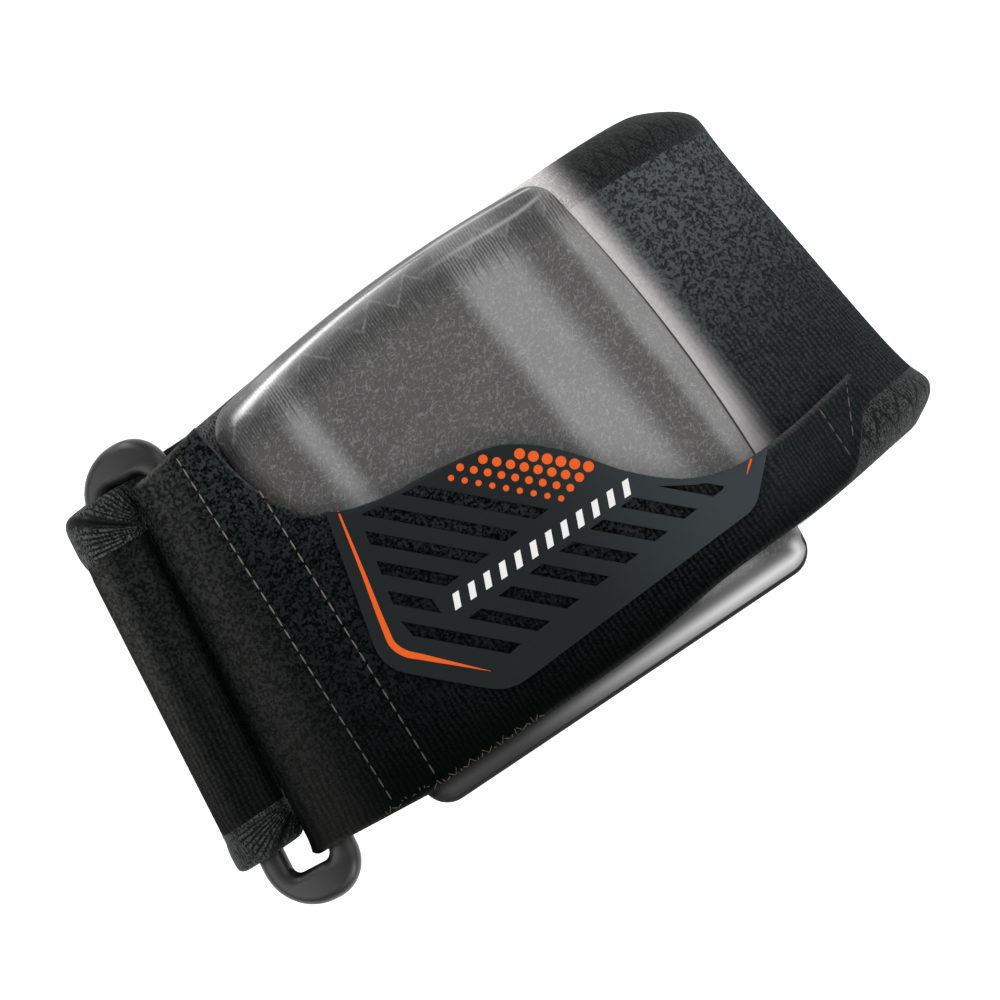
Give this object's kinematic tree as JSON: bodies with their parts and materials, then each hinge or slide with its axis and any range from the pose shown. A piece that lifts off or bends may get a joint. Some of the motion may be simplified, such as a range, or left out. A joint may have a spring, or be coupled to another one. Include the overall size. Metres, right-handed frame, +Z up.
{
  "type": "elbow support sleeve",
  "caption": "Short elbow support for the upper forearm: flattened knit band with rolled hems, a glossy gel pad, and a shaped pull strap with a slotted patch that turns round a plastic ring.",
  "frame": {"origin": "under the middle of the whole part, on the surface that the band's back lies on", "axes": "+X along the pull strap towards its tip, +Y along the arm towards the narrow rim, +Z up out of the front with the pad"},
  "size_m": [0.1346, 0.0796, 0.0592],
  "materials": {
    "knit": "near-black crepe knit over foam, turning into fine ribs at the sides",
    "hem": "near-black rolled elastic hem with fine gathers",
    "pad": "smoke-grey gel under a glossy film",
    "strap": "near-black pebbled knit with rolled edges",
    "patch": "slate satin, moulded, with slanted slots and a thin orange line",
    "ring": "dark grey satin"
  },
  "bodies": {
    "root": {"sleeve_body": "knit", "hem_lower": "hem", "hem_upper": "hem", "pressure_pad": "pad", "pull_strap": "strap", "vent_patch": "patch", "strap_ring": "ring"}
  },
  "joints": []
}
